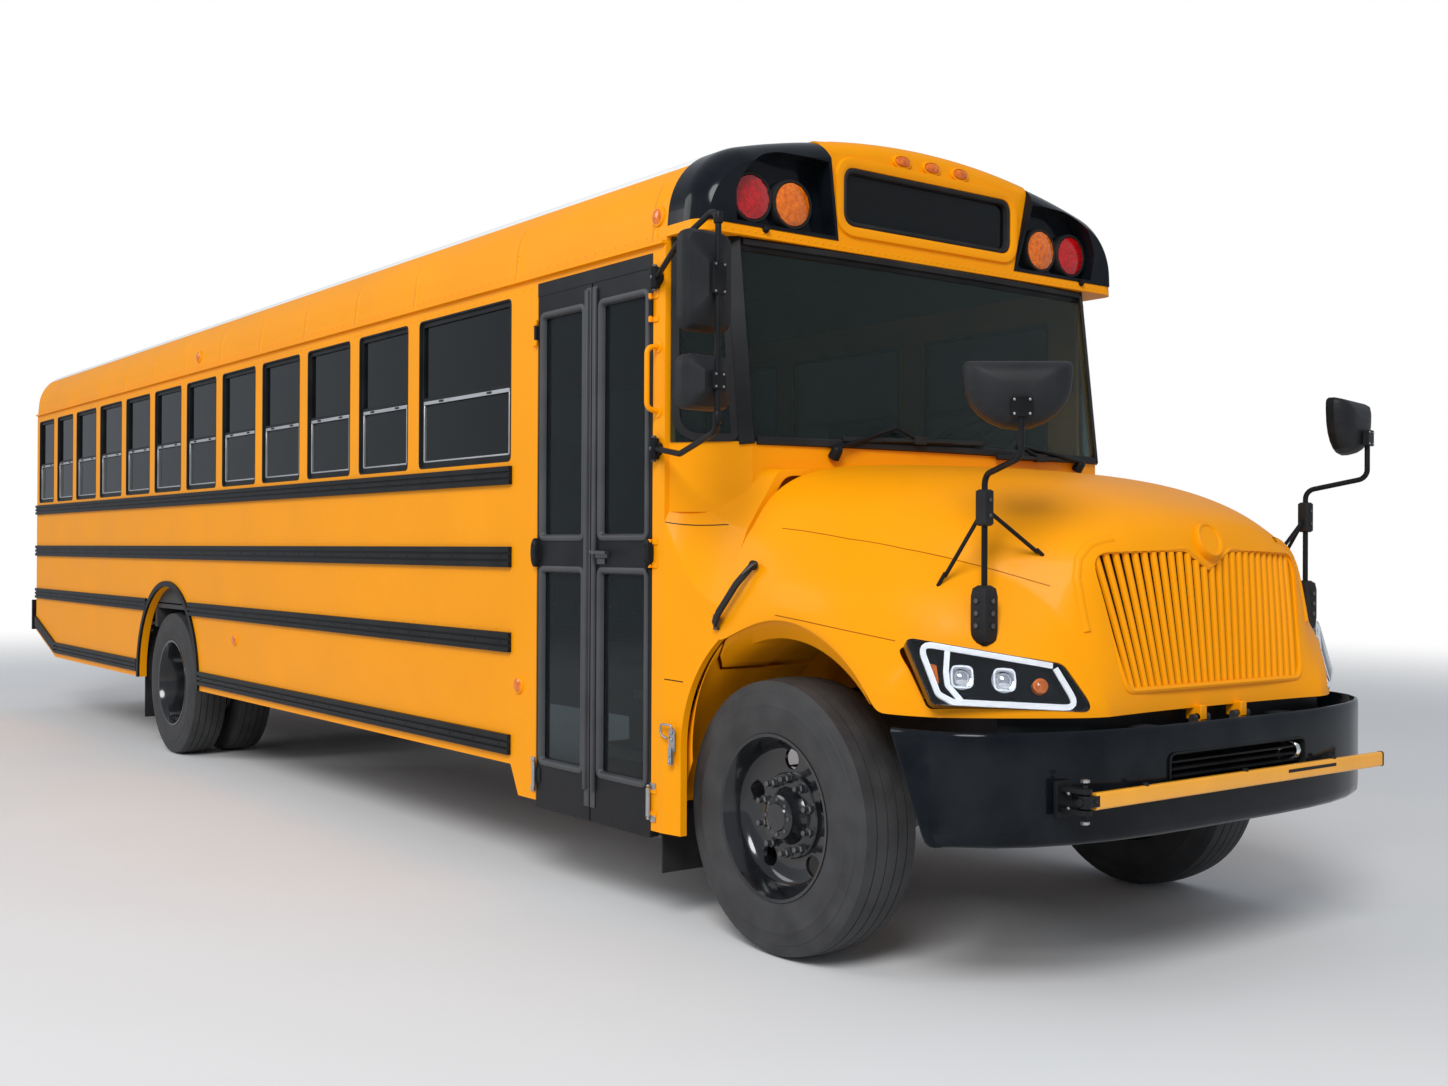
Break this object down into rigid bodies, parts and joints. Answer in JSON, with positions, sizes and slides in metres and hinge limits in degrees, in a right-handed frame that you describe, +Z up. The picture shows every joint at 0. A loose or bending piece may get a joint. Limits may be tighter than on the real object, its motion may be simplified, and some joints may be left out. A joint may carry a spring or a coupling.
{
  "type": "school bus",
  "caption": "Conventional bonneted school bus with a twin-leaf entrance door, tilting hood, steered front wheels, twin rear wheels, stop arm, crossing arm and rear emergency door.",
  "frame": {"origin": "middle of the bounding box, on the ground", "axes": "+X forward, +Y to the driver side, +Z up"},
  "size_m": [11.792, 3.105, 3.215],
  "materials": {
    "body_yellow": "gloss",
    "roof_white": "gloss",
    "black_gloss": "gloss",
    "black_trim": "satin",
    "chassis_black": "satin",
    "wheel_black": "gloss",
    "tyre_rubber": "matte",
    "rubber": "matte",
    "cast": "rough",
    "steel": "satin",
    "window_metal": "satin",
    "tinted_glass": "gloss",
    "clear_glass": "gloss",
    "lamp_red": "gloss",
    "lamp_amber": "gloss",
    "lamp_clear": "gloss",
    "sign_red": "gloss",
    "seat_vinyl": "satin",
    "floor_covering": "matte",
    "crossing_arm_yellow": "gloss"
  },
  "bodies": {
    "coach_and_chassis": {"amber_warning_lamps": "lamp_amber", "chassis_frame": "chassis_black", "cowl": "body_yellow", "dashboard": "black_trim", "drive_shaft": "steel", "driver_seat": "seat_vinyl", "engine": "cast", "entrance_steps": "floor_covering", "exhaust": "steel", "floor": "floor_covering", "front_axle": "chassis_black", "front_bumper": "black_gloss", "front_cap": "body_yellow", "fuel_tank": "chassis_black", "lamp_pods": "black_gloss", "leaf_springs": "chassis_black", "marker_lamps": "lamp_amber", "mud_flaps": "rubber", "passenger_seats": "seat_vinyl", "rear_axle": "chassis_black", "rear_bumper": "black_gloss", "rear_wall": "body_yellow", "red_warning_lamps": "lamp_red", "roof": "body_yellow", "rub_rails": "black_trim", "side_mirror_arms": "black_gloss", "side_mirror_heads": "black_gloss", "side_wall_left": "body_yellow", "side_wall_right": "body_yellow", "stop_arm_bracket": "black_gloss", "tail_lamps": "lamp_red", "window_frames": "window_metal", "window_glass": "tinted_glass", "windscreen": "clear_glass"},
    "hood": {"hood": "body_yellow", "grille": "body_yellow", "headlamps": "lamp_clear", "crossview_mirror_arms": "black_gloss", "crossview_mirror_heads": "black_gloss"},
    "steering_left": {"knuckle_left": "cast"},
    "steering_right": {"knuckle_right": "cast"},
    "front_wheel_left": {"front_left_tyre": "tyre_rubber", "front_left_wheel": "wheel_black"},
    "front_wheel_right": {"front_right_tyre": "tyre_rubber", "front_right_wheel": "wheel_black"},
    "rear_wheels_left": {"rear_left_tyres": "tyre_rubber", "rear_left_wheel": "wheel_black"},
    "rear_wheels_right": {"rear_right_tyres": "tyre_rubber", "rear_right_wheel": "wheel_black"},
    "entrance_door_front": {"door_leaf_front": "black_trim", "door_glass_front": "tinted_glass"},
    "entrance_door_rear": {"door_leaf_rear": "black_trim", "door_glass_rear": "tinted_glass"},
    "crossing_arm": {"crossing_arm": "crossing_arm_yellow"},
    "stop_arm": {"stop_arm": "sign_red"},
    "rear_door": {"emergency_door": "body_yellow", "emergency_door_glass": "tinted_glass"},
    "roof_hatch_front": {"roof_hatch_front": "roof_white"},
    "roof_hatch_rear": {"roof_hatch_rear": "roof_white"}
  },
  "joints": [
    {"name": "hood_tilt", "type": "hinge", "parent": "coach_and_chassis", "child": "hood", "pos_m": [5.769, 0, 0.893], "axis": [0, 1, 0], "range_deg": [0, 70]},
    {"name": "steer_left", "type": "hinge", "parent": "coach_and_chassis", "child": "steering_left", "pos_m": [4.694, 0.8, 0.498], "axis": [0, 0, 1], "range_deg": [-35, 35]},
    {"name": "steer_right", "type": "hinge", "parent": "coach_and_chassis", "child": "steering_right", "pos_m": [4.694, -0.8, 0.498], "axis": [0, 0, 1], "range_deg": [-35, 35]},
    {"name": "front_wheel_left_spin", "type": "hinge", "parent": "steering_left", "child": "front_wheel_left", "pos_m": [4.694, 1, 0.498], "axis": [0, 1, 0], "continuous": true},
    {"name": "front_wheel_right_spin", "type": "hinge", "parent": "steering_right", "child": "front_wheel_right", "pos_m": [4.694, -1, 0.498], "axis": [0, 1, 0], "continuous": true},
    {"name": "rear_wheels_left_spin", "type": "hinge", "parent": "coach_and_chassis", "child": "rear_wheels_left", "pos_m": [-1.956, 0.9, 0.498], "axis": [0, 1, 0], "continuous": true},
    {"name": "rear_wheels_right_spin", "type": "hinge", "parent": "coach_and_chassis", "child": "rear_wheels_right", "pos_m": [-1.956, -0.9, 0.498], "axis": [0, 1, 0], "continuous": true},
    {"name": "entrance_door_front_swing", "type": "hinge", "parent": "coach_and_chassis", "child": "entrance_door_front", "pos_m": [4.071, -1.231, 1.44], "axis": [0, 0, 1], "range_deg": [0, 90]},
    {"name": "entrance_door_rear_swing", "type": "hinge", "parent": "coach_and_chassis", "child": "entrance_door_rear", "pos_m": [3.196, -1.231, 1.44], "axis": [0, 0, 1], "range_deg": [-90, 0]},
    {"name": "crossing_arm_swing", "type": "hinge", "parent": "coach_and_chassis", "child": "crossing_arm", "pos_m": [5.878, -0.85, 0.688], "axis": [0, 0, -1], "range_deg": [0, 90]},
    {"name": "stop_arm_swing", "type": "hinge", "parent": "coach_and_chassis", "child": "stop_arm", "pos_m": [2.704, 1.251, 1.603], "axis": [0, 0, -1], "range_deg": [0, 90]},
    {"name": "rear_door_swing", "type": "hinge", "parent": "coach_and_chassis", "child": "rear_door", "pos_m": [-5.818, -0.467, 1.75], "axis": [0, 0, 1], "range_deg": [0, 110]},
    {"name": "roof_hatch_front_tilt", "type": "hinge", "parent": "coach_and_chassis", "child": "roof_hatch_front", "pos_m": [1.036, 0, 3.2003], "axis": [0, -1, 0], "range_deg": [0, 90]},
    {"name": "roof_hatch_rear_tilt", "type": "hinge", "parent": "coach_and_chassis", "child": "roof_hatch_rear", "pos_m": [-3.964, 0, 3.2003], "axis": [0, -1, 0], "range_deg": [0, 90]}
  ],
  "couplings": [
    {"joint": "steer_right", "follows": "steer_left", "ratio": 1},
    {"joint": "entrance_door_rear_swing", "follows": "entrance_door_front_swing", "ratio": -1}
  ]
}
